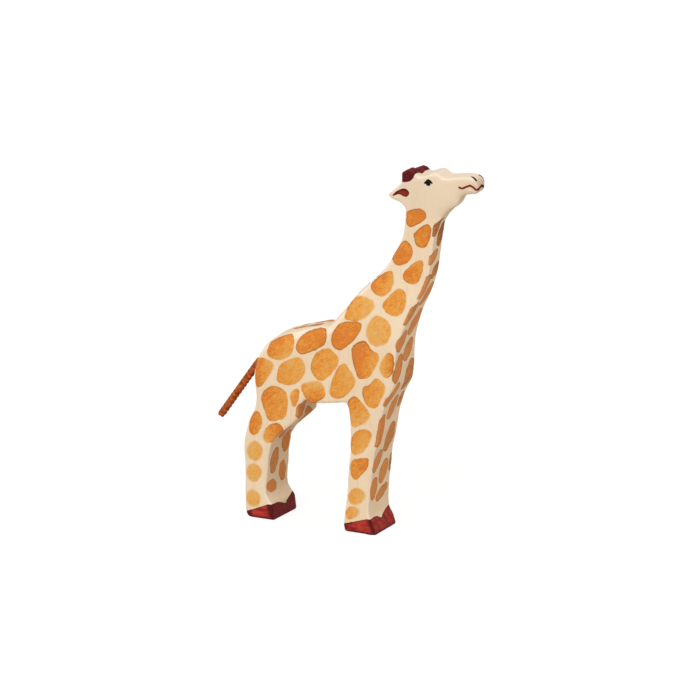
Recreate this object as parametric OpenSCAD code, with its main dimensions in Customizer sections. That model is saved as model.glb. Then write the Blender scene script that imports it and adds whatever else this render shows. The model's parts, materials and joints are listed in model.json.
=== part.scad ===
// Standing giraffe figure, sawn from one board, carved, and fitted with a cord tail.
// Millimetres, +Z up, +X towards the muzzle, origin under the middle of the wood.

/* [Board] */
// Thickness of the board, kept in full at the hooves
board_t = 28; // [22:0.5:36]
// Thickness left across the legs
leg_t = 26; // [20:0.5:34]
// Thickness left across the torso
torso_t = 27.6; // [20:0.2:36]
// Thickness left across the upper neck
neck_t = 14; // [10:0.5:20]
// Thickness left across the head at the ears
head_t = 17; // [12:0.5:22]
// Thickness left across the lips
muzzle_t = 11; // [8:0.5:16]
// Radius sanded on the long edges
edge_r = 1.1; // [0.8:0.1:3]
// Radius sanded on the edges of the head
head_r = 1.6; // [0.8:0.1:3]
// Radius carved along the crest of the back
crest_r = 7; // [3:0.5:9]
// Radius sanded on the ears, the horns and the hooves
trim_r = 1; // [0.5:0.1:1.5]

/* [Heights above the floor] */
// Tips of the horns
height = 225; // [200:1:260]
// Withers, where the neck rises from the back
withers_h = 122; // [112:1:132]
// Top of the rump
rump_h = 113; // [106:0.5:120]
// Rearmost point of the rump
haunch_h = 88; // [82:1:94]
// Front of the chest
chest_h = 107; // [98:1:114]
// Top of the front leg, at its front edge
elbow_h = 77; // [70:1:84]
// Belly, behind the front leg
belly_h = 78.5; // [72:0.5:86]
// Fold between the belly and the thigh
groin_h = 77; // [72:1:84]
// Front of the thigh
knee_h = 64.5; // [58:0.5:70]
// Top of the rear shin
shin_h = 46.5; // [38:0.5:54]
// Hock, the rearmost point of the rear leg
hock_h = 42.5; // [34:0.5:50]
// Narrowest point of the front leg
front_ankle_h = 14.5; // [11:0.5:18]
// Narrowest point of the rear leg
rear_ankle_h = 17.5; // [13:0.5:22]
// Height to which the hooves keep the full board
hoof_h = 6; // [3:0.5:10]
// Height where the legs have thinned to their own thickness
pastern_h = 26; // [16:1:36]
// Height where the shoulders start to thin towards the neck
shoulder_h = 113; // [104:1:120]
// Height where the neck has thinned to its upper thickness
slim_h = 156; // [145:1:170]

/* [Lengths from the tip of a hoof] */
// Tip of the rear hoof to the tip of the front hoof
stance = 65.5; // [58:0.5:74]
// Sole of the front hoof
front_sole = 19.5; // [16:0.5:24]
// Sole of the rear hoof
rear_sole = 15.5; // [13:0.5:20]
// Front ankle behind its toe
front_ankle_back = 4.6; // [2:0.2:7]
// Rear ankle behind its toe
rear_ankle_back = 5.5; // [3:0.5:9]
// Chest ahead of the front toe
chest_out = 12.4; // [9:0.2:18]
// Top of the front leg ahead of the front toe
elbow_out = 4.8; // [3:0.2:9]
// Back of the front leg's top behind the front toe
armpit_back = 20; // [15:0.5:22]
// Withers behind the front toe
withers_back = 33.5; // [28:0.5:38]
// Nape ahead of the front toe
nape_out = 15.8; // [10:0.2:24]
// Fold of the belly ahead of the rear toe
groin_out = 19.5; // [16:0.5:24]
// Front of the thigh ahead of the rear toe
knee_out = 14.5; // [10:0.5:17]
// Top of the rear shin ahead of the rear ankle
shin_out = 3; // [2:0.5:7]
// Hock behind the rear toe
hock_back = 20; // [16:0.5:23]
// Rump behind the rear toe
rump_back = 13.6; // [9:0.2:17]
// Length of the rump's rounding, from its rearmost point to its top
rump_round = 15; // [10:0.5:18]

/* [Head] */
// Nape below the tips of the horns
nape_drop = 25.5; // [22:0.5:30]
// Throat below the tips of the horns
throat_drop = 26.5; // [23:0.5:31]
// Nape to throat
throat_out = 24.5; // [20:0.5:28]
// Nape to the front of the chin
head_l = 44.6; // [39:0.2:52]
// End of the nose behind the chin
nose_back = 1.8; // [0.5:0.1:3]
// Lips ahead of the chin
lips_out = 1.3; // [0.5:0.1:2.5]
// Bridge of the nose below the tips of the horns
nose_drop = 1.6; // [0:0.1:3]
// Bridge of the nose to the chin
muzzle_h = 9; // [7:0.5:12]
// Ear, from the nape back to its tip
ear_l = 10.5; // [7:0.5:14]
// Tip of the ear below the tips of the horns
ear_drop = 17.3; // [15:0.1:19]
// Root of the horn below its tip
horn_h = 9; // [7:0.5:11]
// Back edge of the horn below its tip
horn_slope = 3; // [1.5:0.5:5]
// Horn, from its back to its front
horn_l = 10.5; // [8:0.5:13]
// Tip of the horn ahead of its back
horn_lean = 5.2; // [3:0.2:7]
// Back of the horn behind the nape
horn_back = 2; // [1:0.5:4]
// Forehead below the tips of the horns
brow_drop = 4; // [2.5:0.5:6]
// Width of the saw cut between the horns
notch_w = 4; // [2:0.5:6]
// Depth of the saw cut between the horns
notch_d = 3; // [1.5:0.5:4]
// Width of the hollow between the ears
hollow_w = 7; // [4:0.5:9]
// Wood left between that hollow and the back of the horns
hollow_set = 0.6; // [0.3:0.1:2]

/* [Tail] */
// Diameter of the cord
cord_d = 4.4; // [3:0.1:5]
// Thickness of the glue between the cord and the wood
glue_t = 0.25; // [0.15:0.05:0.6]
// Clearance between the cord and its glue
cord_gap = 0.05; // [0.02:0.01:0.1]
// Depth of the tail hole
hole_depth = 12; // [8:0.5:14]
// Glue left between the cord's end and the bottom of the hole
root_gap = 0.5; // [0.2:0.1:2]
// Slope of the tail hole, down and back
hole_slope = 30; // [10:1:40]
// Height of the tail hole's mouth
tail_h = 94.5; // [92:0.5:100]

/* [Hidden] */

cream = [0.93, 0.87, 0.75];
honey = [0.80, 0.62, 0.33];
rust = [0.69, 0.29, 0.14];

// Samples on each span of an outline, and flats on each rounded edge
span_steps = 2;
edge_steps = 3;
bore_fn = 48;
// Overlap of a cut past the wood, and half the height over which a lean is measured
overcut = 2;
probe = 1;

// Landmarks of the side view, each [x from the front toe, z, edge radius]
rear_toe = [-stance, 0, trim_r];
rear_heel = [-stance - rear_sole, 0, trim_r];
hock = [-stance - hock_back, hock_h, edge_r];
haunch = [-stance - rump_back, haunch_h, edge_r];
rump = [-stance - rump_back + rump_round, rump_h, crest_r];
withers = [-withers_back, withers_h, crest_r];
nape = [nape_out, height - nape_drop, head_r];
ear_tip = [nape_out - ear_l, height - ear_drop, trim_r / 2];
horn_root = [nape_out - horn_back, height - horn_h, trim_r];
horn_heel = [nape_out - horn_back, height - horn_slope, trim_r];
horn_tip = [nape_out - horn_back + horn_lean, height, trim_r];
forehead = [nape_out - horn_back + horn_l, height - brow_drop, head_r];
nose = [nape_out + head_l - nose_back, height - nose_drop, head_r];
lips = [nape_out + head_l + lips_out, height - nose_drop - muzzle_h / 2, head_r];
chin = [nape_out + head_l, height - nose_drop - muzzle_h, head_r];
throat = [nape_out + throat_out, height - throat_drop, head_r];
chest = [chest_out, chest_h, edge_r];
elbow = [elbow_out, elbow_h, edge_r];
front_ankle = [-front_ankle_back, front_ankle_h, edge_r];
front_toe = [0, 0, trim_r];
front_heel = [-front_sole, 0, trim_r];
armpit = [-armpit_back, belly_h, edge_r];
groin = [-stance + groin_out, groin_h, edge_r];
knee = [-stance + knee_out, knee_h, edge_r];
rear_ankle = [-stance - rear_ankle_back, rear_ankle_h, edge_r];
shin = [rear_ankle[0] + shin_out, shin_h, edge_r];

// A stretch of outline from a to b. Its shape points are shares of the straight line between
// them, [along it, outward of it], so the stretch keeps its form when a landmark moves.
function stretch(a, b, shape) =
    let (run = b - a)
    concat([a], [for (s = shape) a + s[0] * run + s[1] * [-run[1], run[0], 0]]);

// A smooth curve through points, without the last one
function curve(points) =
    let (last = len(points) - 1)
    [for (i = [0 : last - 1], step = [0 : span_steps - 1])
        let (t = step / span_steps,
             p0 = points[max(i - 1, 0)], p1 = points[i],
             p2 = points[i + 1], p3 = points[min(i + 2, last)])
        0.5 * (2 * p1 + t * (p2 - p0) + t * t * (2 * p0 - 5 * p1 + 4 * p2 - p3)
               + t * t * t * (3 * p1 - p0 - 3 * p2 + p3))];

function slice(list, from, to) = [for (i = [from : to]) list[i]];
function reversed(list) = [for (i = [len(list) - 1 : -1 : 0]) list[i]];
function total(list, count) = count == 0 ? 0 : list[count - 1] + total(list, count - 1);

// Rear leg's back edge, rump, back and nape, as one smooth line
shank_points = concat(
    stretch(rear_heel, hock, [[0.05, 0.045], [0.22, 0.052], [0.64, 0.018]]),
    stretch(hock, haunch, [[0.2, 0.01], [0.38, -0.005], [0.54, -0.06], [0.7, -0.063], [0.9, -0.015]]));
back_points = concat(
    stretch(haunch, rump, [[0.1, 0.05], [0.35, 0.137], [0.55, 0.15], [0.76, 0.112]]),
    stretch(rump, withers, [[0.3, 0.022], [0.85, 0.04]]));
nape_points = stretch(withers, nape, [[0.09, -0.015], [0.2, -0.026], [0.32, -0.038], [0.45, -0.068],
    [0.58, -0.095], [0.68, -0.09], [0.78, -0.086], [0.86, -0.065], [0.94, -0.027]]);
top_line = curve(concat(shank_points, back_points, nape_points, [nape]));
haunch_at = len(shank_points) * span_steps;
withers_at = haunch_at + len(back_points) * span_steps;

// Forehead, nose, lips, jaw, neck front, chest and the front leg's front edge, as one smooth line
nose_points = concat(
    stretch(forehead, nose, [[0.1, 0], [0.31, 0.072], [0.43, 0], [0.51, -0.017], [0.73, 0.012],
        [0.88, 0.017]]),
    stretch(nose, lips, [[0.45, 0.16]]));
jaw_points = concat(
    stretch(lips, chin, [[0.65, 0.12]]),
    stretch(chin, throat, [[0.22, -0.085], [0.35, -0.135], [0.46, -0.09], [0.58, -0.018], [0.8, -0.034]]));
neck_points = concat(
    stretch(throat, chest, [[0.065, -0.027], [0.11, -0.025], [0.2, -0.012], [0.29, 0.003], [0.38, 0.016],
        [0.46, 0.02], [0.57, 0.009], [0.65, -0.008], [0.73, -0.017], [0.81, -0.022], [0.91, -0.018]]),
    stretch(chest, elbow, [[0.32, 0.063], [0.5, 0.082], [0.66, 0.046], [0.85, 0.006]]));
foreleg_points = concat(
    stretch(elbow, front_ankle, [[0.1, -0.012], [0.33, -0.014], [0.45, -0.028], [0.6, -0.024],
        [0.9, -0.012]]),
    stretch(front_ankle, front_toe, [[0.3, -0.06], [0.6, -0.005]]));
front_line = curve(concat(nose_points, jaw_points, neck_points, foreleg_points, [front_toe]));
lips_at = len(nose_points) * span_steps;
throat_at = lips_at + len(jaw_points) * span_steps;
elbow_at = throat_at + len(neck_points) * span_steps;

// Edges of the ear, the horn, the front leg's back, the belly and the rear leg's front
ear_under = curve(concat(stretch(nape, ear_tip, [[0.2, -0.097], [0.46, -0.083], [0.78, 0.04]]), [ear_tip]));
ear_over = curve(concat(stretch(ear_tip, horn_root, [[0.5, -0.015]]), [horn_root]));
horn_front = curve(concat(stretch(horn_tip, forehead, [[0.42, 0.15]]), [forehead]));
foreleg_back = curve(concat(stretch(front_heel, armpit, [[0.05, 0.013], [0.18, 0], [0.33, -0.014],
    [0.52, -0.026], [0.6, -0.034], [0.82, -0.036], [0.96, -0.024]]), [armpit]));
belly = curve(concat(stretch(armpit, groin, [[0.39, 0.042], [0.76, 0.085], [0.86, 0.082]]), [groin]));
thigh_front = curve(concat(
    stretch(groin, knee, [[0.57, -0.165]]),
    stretch(knee, shin, [[0.5, -0.02]]),
    stretch(shin, rear_ankle, [[0.65, -0.012]]),
    stretch(rear_ankle, rear_toe, [[0.2, -0.014], [0.4, 0.048], [0.55, 0.09]]),
    [rear_toe]));

// The whole side view as runs between landmarks, clockwise from the rear heel, and their numbers
runs = [
    slice(top_line, 0, haunch_at - 1),
    slice(top_line, haunch_at, withers_at - 1),
    slice(top_line, withers_at, len(top_line) - 1),
    ear_under,
    ear_over,
    [horn_root, horn_heel],
    horn_front,
    slice(front_line, 0, lips_at - 1),
    slice(front_line, lips_at, throat_at - 1),
    slice(front_line, throat_at, elbow_at - 1),
    concat(slice(front_line, elbow_at, len(front_line) - 1), [front_toe]),
    foreleg_back,
    belly,
    concat(thigh_front, [rear_toe])];
shank_run = 0;
back_run = 1;
nape_run = 2;
ear_under_run = 3;
ear_over_run = 4;
horn_back_run = 5;
horn_front_run = 6;
nose_run = 7;
jaw_run = 8;
neck_run = 9;
foreleg_front_run = 10;
foreleg_back_run = 11;
belly_run = 12;
thigh_run = 13;
runs_end = len(runs);
outline = [for (run = runs) each run];
count = len(outline);
starts = [for (i = [0 : runs_end]) total([for (run = runs) len(run)], i)];
outline_x = [for (p = outline) p[0]];
middle_x = (min(outline_x) + max(outline_x)) / 2;

// Half thickness of the wood at a point of the side view: the front view narrows with height, and
// above the throat the head narrows towards the lips
front_view = [[0, board_t / 2], [hoof_h, board_t / 2], [pastern_h, leg_t / 2],
    [knee_h, leg_t / 2], [haunch_h, torso_t / 2], [shoulder_h, torso_t / 2], [slim_h, neck_t / 2]];
head_plan = [[horn_root[0], head_t / 2], [forehead[0], head_t / 2], [lips[0], muzzle_t / 2]];
function half(p) =
    let (share = max(0, min(1, (p[1] - throat[1] + head_r) / (ear_tip[1] - throat[1]))))
    (1 - share) * lookup(p[1], front_view) + share * lookup(p[0], head_plan);

// Direction into the wood at an outline point, long enough to keep the edge's width round a corner
function inward(i) =
    let (here = outline[i],
         before = here - outline[(i + count - 1) % count],
         after = outline[(i + 1) % count] - here,
         n1 = [before[1], -before[0]] / norm([before[0], before[1]]),
         n2 = [after[1], -after[0]] / norm([after[0], after[1]]))
    (n1 + n2) / max(1, 1 + n1 * n2);

// Corner points of the wood, row by row from the right face over the edge to the left face
function row_points(angle, side) =
    [for (i = [0 : count - 1])
        let (p = outline[i], r = p[2], d = inward(i) * r * (1 - sin(angle)))
        [p[0] + d[0] - middle_x, side * (half(p) - r + r * cos(angle)), p[1] + d[1]]];
angles = [for (k = [0 : edge_steps]) 90 * k / edge_steps];
wood_points = concat(
    [for (a = angles) each row_points(a, -1)],
    [for (a = reversed(angles)) each row_points(a, 1)]);
rows = 2 * len(angles);
wall_faces = [for (k = [0 : rows - 2], i = [0 : count - 1])
    let (a = k * count + i, b = k * count + (i + 1) % count)
    each [[a, a + count, b], [b, a + count, b + count]]];

// Triangles between two lines of points that face each other across a limb
function bridge(a, b, i = 0, j = 0) =
    let (a_left = len(a) - 1 - i, b_left = len(b) - 1 - j)
    a_left + b_left == 0 ? [] :
    a_left * (len(b) - 1) >= b_left * (len(a) - 1) && a_left > 0
        ? concat([[a[i], a[i + 1], b[j]]], bridge(a, b, i + 1, j))
        : concat([[a[i], b[j + 1], b[j]]], bridge(a, b, i, j + 1));
// Outline numbers from the start of one run to the start of another, with or without that last one
function span(from, to) = [for (i = [starts[from] : starts[to]]) i];
function span_open(from, to) = [for (i = [starts[from] : starts[to] - 1]) i];
function span_after(from, to) = [for (i = [starts[from] + 1 : starts[to]]) i];
rear_leg_side = bridge(span(shank_run, back_run), reversed(span_open(thigh_run, runs_end)));
torso_side = bridge(span(back_run, nape_run), reversed(span(belly_run, thigh_run)));
shoulder_side = bridge([starts[nape_run]], [starts[belly_run], starts[foreleg_front_run]]);
front_leg_side = bridge(
    span(foreleg_back_run, belly_run),
    reversed(span_open(foreleg_front_run, foreleg_back_run)));
neck_side = bridge(span(nape_run, ear_under_run), reversed(span(neck_run, foreleg_front_run)));
ear_side = bridge(span(ear_under_run, ear_over_run), reversed(span_after(ear_over_run, horn_back_run)));
horn_side = bridge(span(horn_back_run, horn_front_run), reversed(span_after(horn_front_run, nose_run)));
head_side = bridge(
    concat([starts[ear_under_run], starts[horn_back_run]], span(nose_run, jaw_run)),
    reversed(span_after(jaw_run, neck_run)));
side_faces = concat(rear_leg_side, torso_side, shoulder_side, front_leg_side, neck_side, ear_side,
    horn_side, head_side);
left_side = (rows - 1) * count;
left_faces = [for (f = side_faces) [f[2], f[1], f[0]] + left_side * [1, 1, 1]];
wood_faces = concat(wall_faces, side_faces, left_faces);

// Mouth of the tail hole, on the middle of the rump, and the hole's direction out of the wood
rump_line = [for (i = [haunch_at : withers_at]) [top_line[i][1], top_line[i][0] - middle_x]];
tail_mouth = [lookup(tail_h, rump_line), 0, tail_h];
hole_axis = [-cos(hole_slope), 0, -sin(hole_slope)];
hole_d = cord_d + 2 * cord_gap + 2 * glue_t;

// Lean of the rump at the mouth, and how far in the hole has wood all round it
mouth_lean = atan((lookup(tail_h + probe, rump_line) - lookup(tail_h - probe, rump_line)) / (2 * probe));
mouth_set = hole_d / 2 * tan(hole_slope + mouth_lean);
root_depth = hole_depth - root_gap - cord_gap;

// The cord's middle line: its root along the hole, then its free points from the hole's mouth
cord_root = [for (depth = [root_depth, root_depth / 2, 0]) tail_mouth - depth * hole_axis];
cord_free = [[-1.8, 0, -1], [-3.6, 0, -2.4], [-5.3, 0, -4.5], [-7.3, 0, -7.4], [-9.8, 0, -11],
    [-12.3, 0, -14.6], [-14.8, 0, -18.2], [-17.3, 0, -21.9], [-19.8, 0, -25.5], [-22.3, 0, -29.1],
    [-25.8, 0, -34.2], [-29.3, 0, -39.3]];
cord_route = concat(cord_root, [for (p = cord_free) tail_mouth + p]);
cord_sides = 8;

// One closed tube along a route that lies in the XZ plane
module tube(route, diameter) {
    last = len(route) - 1;
    points = [for (i = [0 : last])
        let (run = route[min(i + 1, last)] - route[max(i - 1, 0)],
             lift = [-run[2], 0, run[0]] / norm(run))
        for (k = [0 : cord_sides - 1])
            let (turn = 360 * k / cord_sides)
            route[i] + diameter / 2 * (cos(turn) * lift + sin(turn) * [0, 1, 0])];
    walls = [for (i = [0 : last - 1], k = [0 : cord_sides - 1])
        let (a = i * cord_sides + k, b = i * cord_sides + (k + 1) % cord_sides)
        each [[a, b, a + cord_sides], [b, b + cord_sides, a + cord_sides]]];
    ends = [for (k = [1 : cord_sides - 2])
        each [[0, k + 1, k], [last * cord_sides, last * cord_sides + k, last * cord_sides + k + 1]]];
    polyhedron(points, concat(walls, ends));
}

// A straight drill of diameter d, from depth inside the rump to clear of its mouth
module tail_drill(d, depth, clear) {
    translate(tail_mouth)
        rotate([0, -90 - hole_slope, 0])
            translate([0, 0, -depth])
                cylinder(d = d, h = depth + clear, $fn = bore_fn);
}

module horn_notch() {
    translate([horn_root[0] - middle_x - overcut, 0, height - notch_d + notch_w / 2])
        rotate([90, 0, 90])
            linear_extrude(horn_l + overcut) {
                circle(d = notch_w, $fn = bore_fn);
                translate([-notch_w / 2, 0])
                    square([notch_w, notch_d + overcut]);
            }
}

module ear_hollow() {
    hollow_d = horn_root[0] - hollow_set - ear_tip[0] + overcut;
    translate([ear_tip[0] - middle_x - overcut, -hollow_w / 2, nape[1]])
        cube([hollow_d, hollow_w, horn_root[1] - nape[1] + overcut]);
}

module carved_body() {
    color(cream)
        difference() {
            polyhedron(wood_points, wood_faces);
            tail_drill(hole_d, hole_depth, hole_depth);
            horn_notch();
            ear_hollow();
        }
}

module tail_glue() {
    color(honey)
        difference() {
            tail_drill(hole_d, hole_depth, -mouth_set);
            tail_drill(cord_d + 2 * cord_gap, hole_depth - root_gap, overcut);
        }
}

module tail_cord() {
    color(rust)
        tube(cord_route, cord_d);
}

carved_body();
tail_glue();
tail_cord();
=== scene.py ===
# %% [markdown]
# The figure is a standing giraffe, sawn from one thick board, carved along its edges, stained by
# hand and finished with a short length of twisted cord glued into its rump. The imported solids are
# a fixed frame here: they say how large each piece is and where it sits. This lesson dresses that
# frame, so it starts by loading it and listing the pieces to dress.

# %% Load the frame
import json
import math

import bmesh
import bpy
import numpy as np
from mathutils import Matrix, Vector


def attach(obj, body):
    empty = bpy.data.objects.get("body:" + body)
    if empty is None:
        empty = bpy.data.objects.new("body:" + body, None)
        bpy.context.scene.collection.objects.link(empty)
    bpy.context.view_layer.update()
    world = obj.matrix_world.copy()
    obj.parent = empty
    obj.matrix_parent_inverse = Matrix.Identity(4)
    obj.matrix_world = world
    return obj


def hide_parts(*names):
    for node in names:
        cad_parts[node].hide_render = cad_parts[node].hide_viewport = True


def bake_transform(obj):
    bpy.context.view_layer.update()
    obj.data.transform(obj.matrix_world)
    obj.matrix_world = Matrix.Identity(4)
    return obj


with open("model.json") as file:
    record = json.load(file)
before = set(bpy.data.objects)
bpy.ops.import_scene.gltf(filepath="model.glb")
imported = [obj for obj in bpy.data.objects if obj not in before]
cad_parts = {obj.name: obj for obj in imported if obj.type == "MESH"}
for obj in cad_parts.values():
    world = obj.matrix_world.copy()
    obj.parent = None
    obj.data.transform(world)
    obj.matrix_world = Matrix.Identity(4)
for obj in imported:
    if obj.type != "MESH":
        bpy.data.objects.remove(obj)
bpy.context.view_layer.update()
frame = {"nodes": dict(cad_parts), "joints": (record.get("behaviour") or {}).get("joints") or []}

MM = 0.001
print("pieces to dress:", ", ".join(sorted(frame["nodes"])))

# %% [markdown]
# The camera comes first. The picture was taken from far off: the sides of the board stay parallel
# in it. A short lens close by would splay them, so a very long lens stands twelve metres away. One
# corner of the front hoof is easy to find in the picture, and that pixel fixes where the camera looks.

# %% Aim the camera
view_azimuth = 26.1
view_height = 17.4
picture_pixels = 700
pixel_size = 0.5838 * MM
hoof_corner = Vector((11.9, -14, 0)) * MM
hoof_corner_pixel = (375.3, 536.1)
camera_distance = 12.0


def towards(azimuth, height):
    """The direction to a place so many degrees round from the near side, and above it."""
    turn, rise = math.radians(azimuth), math.radians(height)
    return Vector((math.sin(turn) * math.cos(rise), -math.cos(turn) * math.cos(rise), math.sin(rise)))


to_camera = towards(view_azimuth, view_height)
to_right = towards(view_azimuth + 90, 0)
to_top = to_camera.cross(to_right)
across = (picture_pixels / 2 - hoof_corner_pixel[0]) * pixel_size
upward = (hoof_corner_pixel[1] - picture_pixels / 2) * pixel_size
picture_middle = hoof_corner + across * to_right + upward * to_top

camera = bpy.data.objects.new("camera", bpy.data.cameras.new("camera"))
camera.data.sensor_width = 36
camera.data.lens = camera.data.sensor_width * camera_distance / (picture_pixels * pixel_size)
camera.data.clip_end = 50
camera.location = picture_middle + camera_distance * to_camera
camera.rotation_euler = to_camera.to_track_quat("Z", "Y").to_euler()
bpy.context.scene.collection.objects.link(camera)
bpy.context.scene.camera = camera
print(f"camera lens {camera.data.lens:.0f} mm, looking at {tuple(round(c, 4) for c in picture_middle)}")

# %% [markdown]
# The tail is a stiff three-strand cord, a little over four millimetres thick, with a worn tip. Its
# root is glued into a hole that slopes down and back, so it leaves the rump along that slope, bends
# once and then runs straight. The points are those that the solid cord follows, as [x, height] from
# the mouth of the hole, and a smooth line through them keeps the bend round.

# %% Lay out the cord's middle line
tail_joint = frame["joints"][0]
tail_mouth = Vector(tail_joint["pos_m"])
hole_slope = math.radians(30)
out_of_hole = Vector((-math.cos(hole_slope), 0, -math.sin(hole_slope)))
root_depth = 11.45 * MM
free_points = [(-1.8, -1), (-3.6, -2.4), (-5.3, -4.5), (-7.3, -7.4), (-9.8, -11), (-12.3, -14.6),
               (-14.8, -18.2), (-17.3, -21.9), (-19.8, -25.5), (-22.3, -29.1), (-25.8, -34.2),
               (-29.3, -39.3)]

cord_route = [tail_mouth - depth * out_of_hole for depth in (root_depth, root_depth / 2, 0)]
cord_route += [tail_mouth + Vector((x, 0, z)) * MM for x, z in free_points]


def smooth_line(points, steps, closed=False):
    """Points on a smooth curve through the given ones, with some steps from each to the next."""
    count = len(points)
    spans = count if closed else count - 1
    line = []
    for i in range(spans):
        if closed:
            p0, p1, p2, p3 = (points[(i + k) % count] for k in (-1, 0, 1, 2))
        else:
            p0, p1, p2, p3 = (points[min(max(i + k, 0), count - 1)] for k in (-1, 0, 1, 2))
        for step in range(steps):
            t = step / steps
            line.append(0.5 * (2 * p1 + t * (p2 - p0) + t**2 * (2 * p0 - 5 * p1 + 4 * p2 - p3)
                               + t**3 * (3 * p1 - p0 - 3 * p2 + p3)))
    return line if closed else line + [points[-1]]


cord_line = smooth_line(cord_route, steps=12)
cord_marks = [0.0]
for before, after in zip(cord_line, cord_line[1:]):
    cord_marks.append(cord_marks[-1] + (after - before).length)
cord_length = cord_marks[-1]
print(f"cord {cord_length / MM:.1f} mm long, of which {root_depth / MM:.1f} mm is glued in")

# %% [markdown]
# A twisted cord could be one tube with a bump pattern, but then its edge would be straight, and the
# real one is knobbly. So each strand is its own tube, wound round the middle line. A ring of
# vertices is extruded from place to place along the strand, and each ring keeps how far along and
# how far round it is, because the fibres in the finish follow those two numbers.

# %% Face each ring along its strand
cord_d = 4.4 * MM
strand_r = 1.45 * MM
strand_offset = 0.9 * MM
strand_count = 3
strand_sides = 16
twist_pitch = 8.5 * MM
worn_length = 2.2 * MM
tip_wear = 0.45


def direction_at(line, i):
    """The direction of a line at one of its points."""
    return (line[min(i + 1, len(line) - 1)] - line[max(i - 1, 0)]).normalized()


def strand_frames(start_turn):
    """One matrix per ring of a strand: at its centre, facing along it."""
    centres, spokes = [], []
    for i, (point, mark) in enumerate(zip(cord_line, cord_marks)):
        side = Vector((0, 1, 0))
        lift = direction_at(cord_line, i).cross(side)
        angle = start_turn - 2 * math.pi * mark / twist_pitch
        spoke = math.cos(angle) * side + math.sin(angle) * lift
        spokes.append(spoke)
        centres.append(point + strand_offset * spoke)
    frames = []
    for i, (centre, spoke) in enumerate(zip(centres, spokes)):
        along = direction_at(centres, i)
        round_way = along.cross(spoke).normalized()
        spoke = round_way.cross(along)
        turned = Matrix((spoke, round_way, along)).transposed().to_4x4()
        worn = max(0, 1 - (cord_length - cord_marks[i]) / worn_length)
        frames.append(Matrix.Translation(centre) @ turned @ Matrix.Scale(1 - tip_wear * worn**2, 4))
    return frames


print(f"a strand turns {cord_length / twist_pitch:.1f} times from root to tip")

# %% Wind the three strands
cord_mesh = bmesh.new()
fibre_map = cord_mesh.loops.layers.uv.new("fibres")
for strand in range(strand_count):
    frames = strand_frames(2 * math.pi * strand / strand_count)
    ring = bmesh.ops.create_circle(cord_mesh, cap_ends=True, radius=strand_r, segments=strand_sides,
                                   matrix=frames[0])["verts"]
    places = {vert: (i, 0) for i, vert in enumerate(ring)}
    edges = [edge for edge in cord_mesh.edges if edge.verts[0] in places and edge.verts[1] in places]
    for step in range(1, len(frames)):
        grown = bmesh.ops.extrude_edge_only(cord_mesh, edges=edges)["geom"]
        verts = [item for item in grown if isinstance(item, bmesh.types.BMVert)]
        edges = [item for item in grown if isinstance(item, bmesh.types.BMEdge)]
        for vert in verts:
            below = next(e.other_vert(vert) for e in vert.link_edges if e.other_vert(vert) in places)
            places[vert] = (places[below][0], step)
        bmesh.ops.transform(cord_mesh, verts=verts, matrix=frames[step] @ frames[step - 1].inverted())
    bmesh.ops.contextual_create(cord_mesh, geom=edges)
    for face in {face for vert in places for face in vert.link_faces}:
        sides = [places[vert][0] for vert in face.verts]
        wraps = max(sides) - min(sides) > strand_sides / 2
        for loop, side in zip(face.loops, sides):
            round_share = (side + strand_sides * (wraps and side == 0)) / strand_sides
            loop[fibre_map].uv = (round_share, cord_marks[places[loop.vert][1]] / cord_d)
bmesh.ops.recalc_face_normals(cord_mesh, faces=cord_mesh.faces)


def face_order(face):
    """One number that puts faces in order along the cord, so that every run gives the same mesh."""
    numbers = [vert.index for vert in face.verts]
    return min(numbers) * len(cord_mesh.verts) + max(numbers)


cord_mesh.verts.index_update()
cord_mesh.faces.sort(key=face_order)
print(f"cord: {strand_count} strands, {len(cord_mesh.faces)} faces")

# %% Make the cord a piece


def new_piece(name, shape):
    """A smooth-shaded object from a finished bmesh."""
    mesh = bpy.data.meshes.new(name)
    shape.to_mesh(mesh)
    shape.free()
    mesh.shade_smooth()
    piece = bpy.data.objects.new(name, mesh)
    bpy.context.scene.collection.objects.link(piece)
    return piece


tail = new_piece("twisted_tail", cord_mesh)
print("piece:", tail.name)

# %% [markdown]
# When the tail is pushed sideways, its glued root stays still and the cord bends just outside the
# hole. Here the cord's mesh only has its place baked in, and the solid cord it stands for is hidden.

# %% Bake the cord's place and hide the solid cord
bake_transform(tail)
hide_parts("tail_cord")

# %% [markdown]
# The wood is one piece. Its solid already has the right outline and thickness, but its edges are
# made of flats. The real edges were sanded by hand and are soft all along. Rebuilding the outline
# here would only repeat the solid, so a copy of the solid is merged, remeshed into an even grid of
# small squares and smoothed a little, which rounds every edge the way sandpaper does.

# %% Copy the wood and sand it
grid_size = 0.77 * MM
sanding_passes = 1

sculpt = bmesh.new()
sculpt.from_mesh(frame["nodes"]["carved_body"].data)
bmesh.ops.remove_doubles(sculpt, verts=sculpt.verts, dist=0.001 * MM)
body = new_piece("painted_giraffe", sculpt)
body.data.materials.clear()

even_grid = body.modifiers.new("even grid", "REMESH")
even_grid.mode = "VOXEL"
even_grid.voxel_size = grid_size
remeshed = body.evaluated_get(bpy.context.evaluated_depsgraph_get())
even_mesh = bpy.data.meshes.new_from_object(remeshed)
body.modifiers.clear()
body.data = even_mesh


def sand(shape, verts, passes, across_only=False):
    """Smooths some vertices of a bmesh, as sandpaper would."""
    every_way = not across_only
    for _ in range(passes):
        bmesh.ops.smooth_vert(shape, verts=verts, factor=0.5, use_axis_x=every_way, use_axis_y=True,
                              use_axis_z=every_way)


sculpt = bmesh.new()
sculpt.from_mesh(body.data)
sand(sculpt, sculpt.verts, sanding_passes)
print(f"wood: {len(sculpt.faces)} faces after remeshing and sanding")

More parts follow.
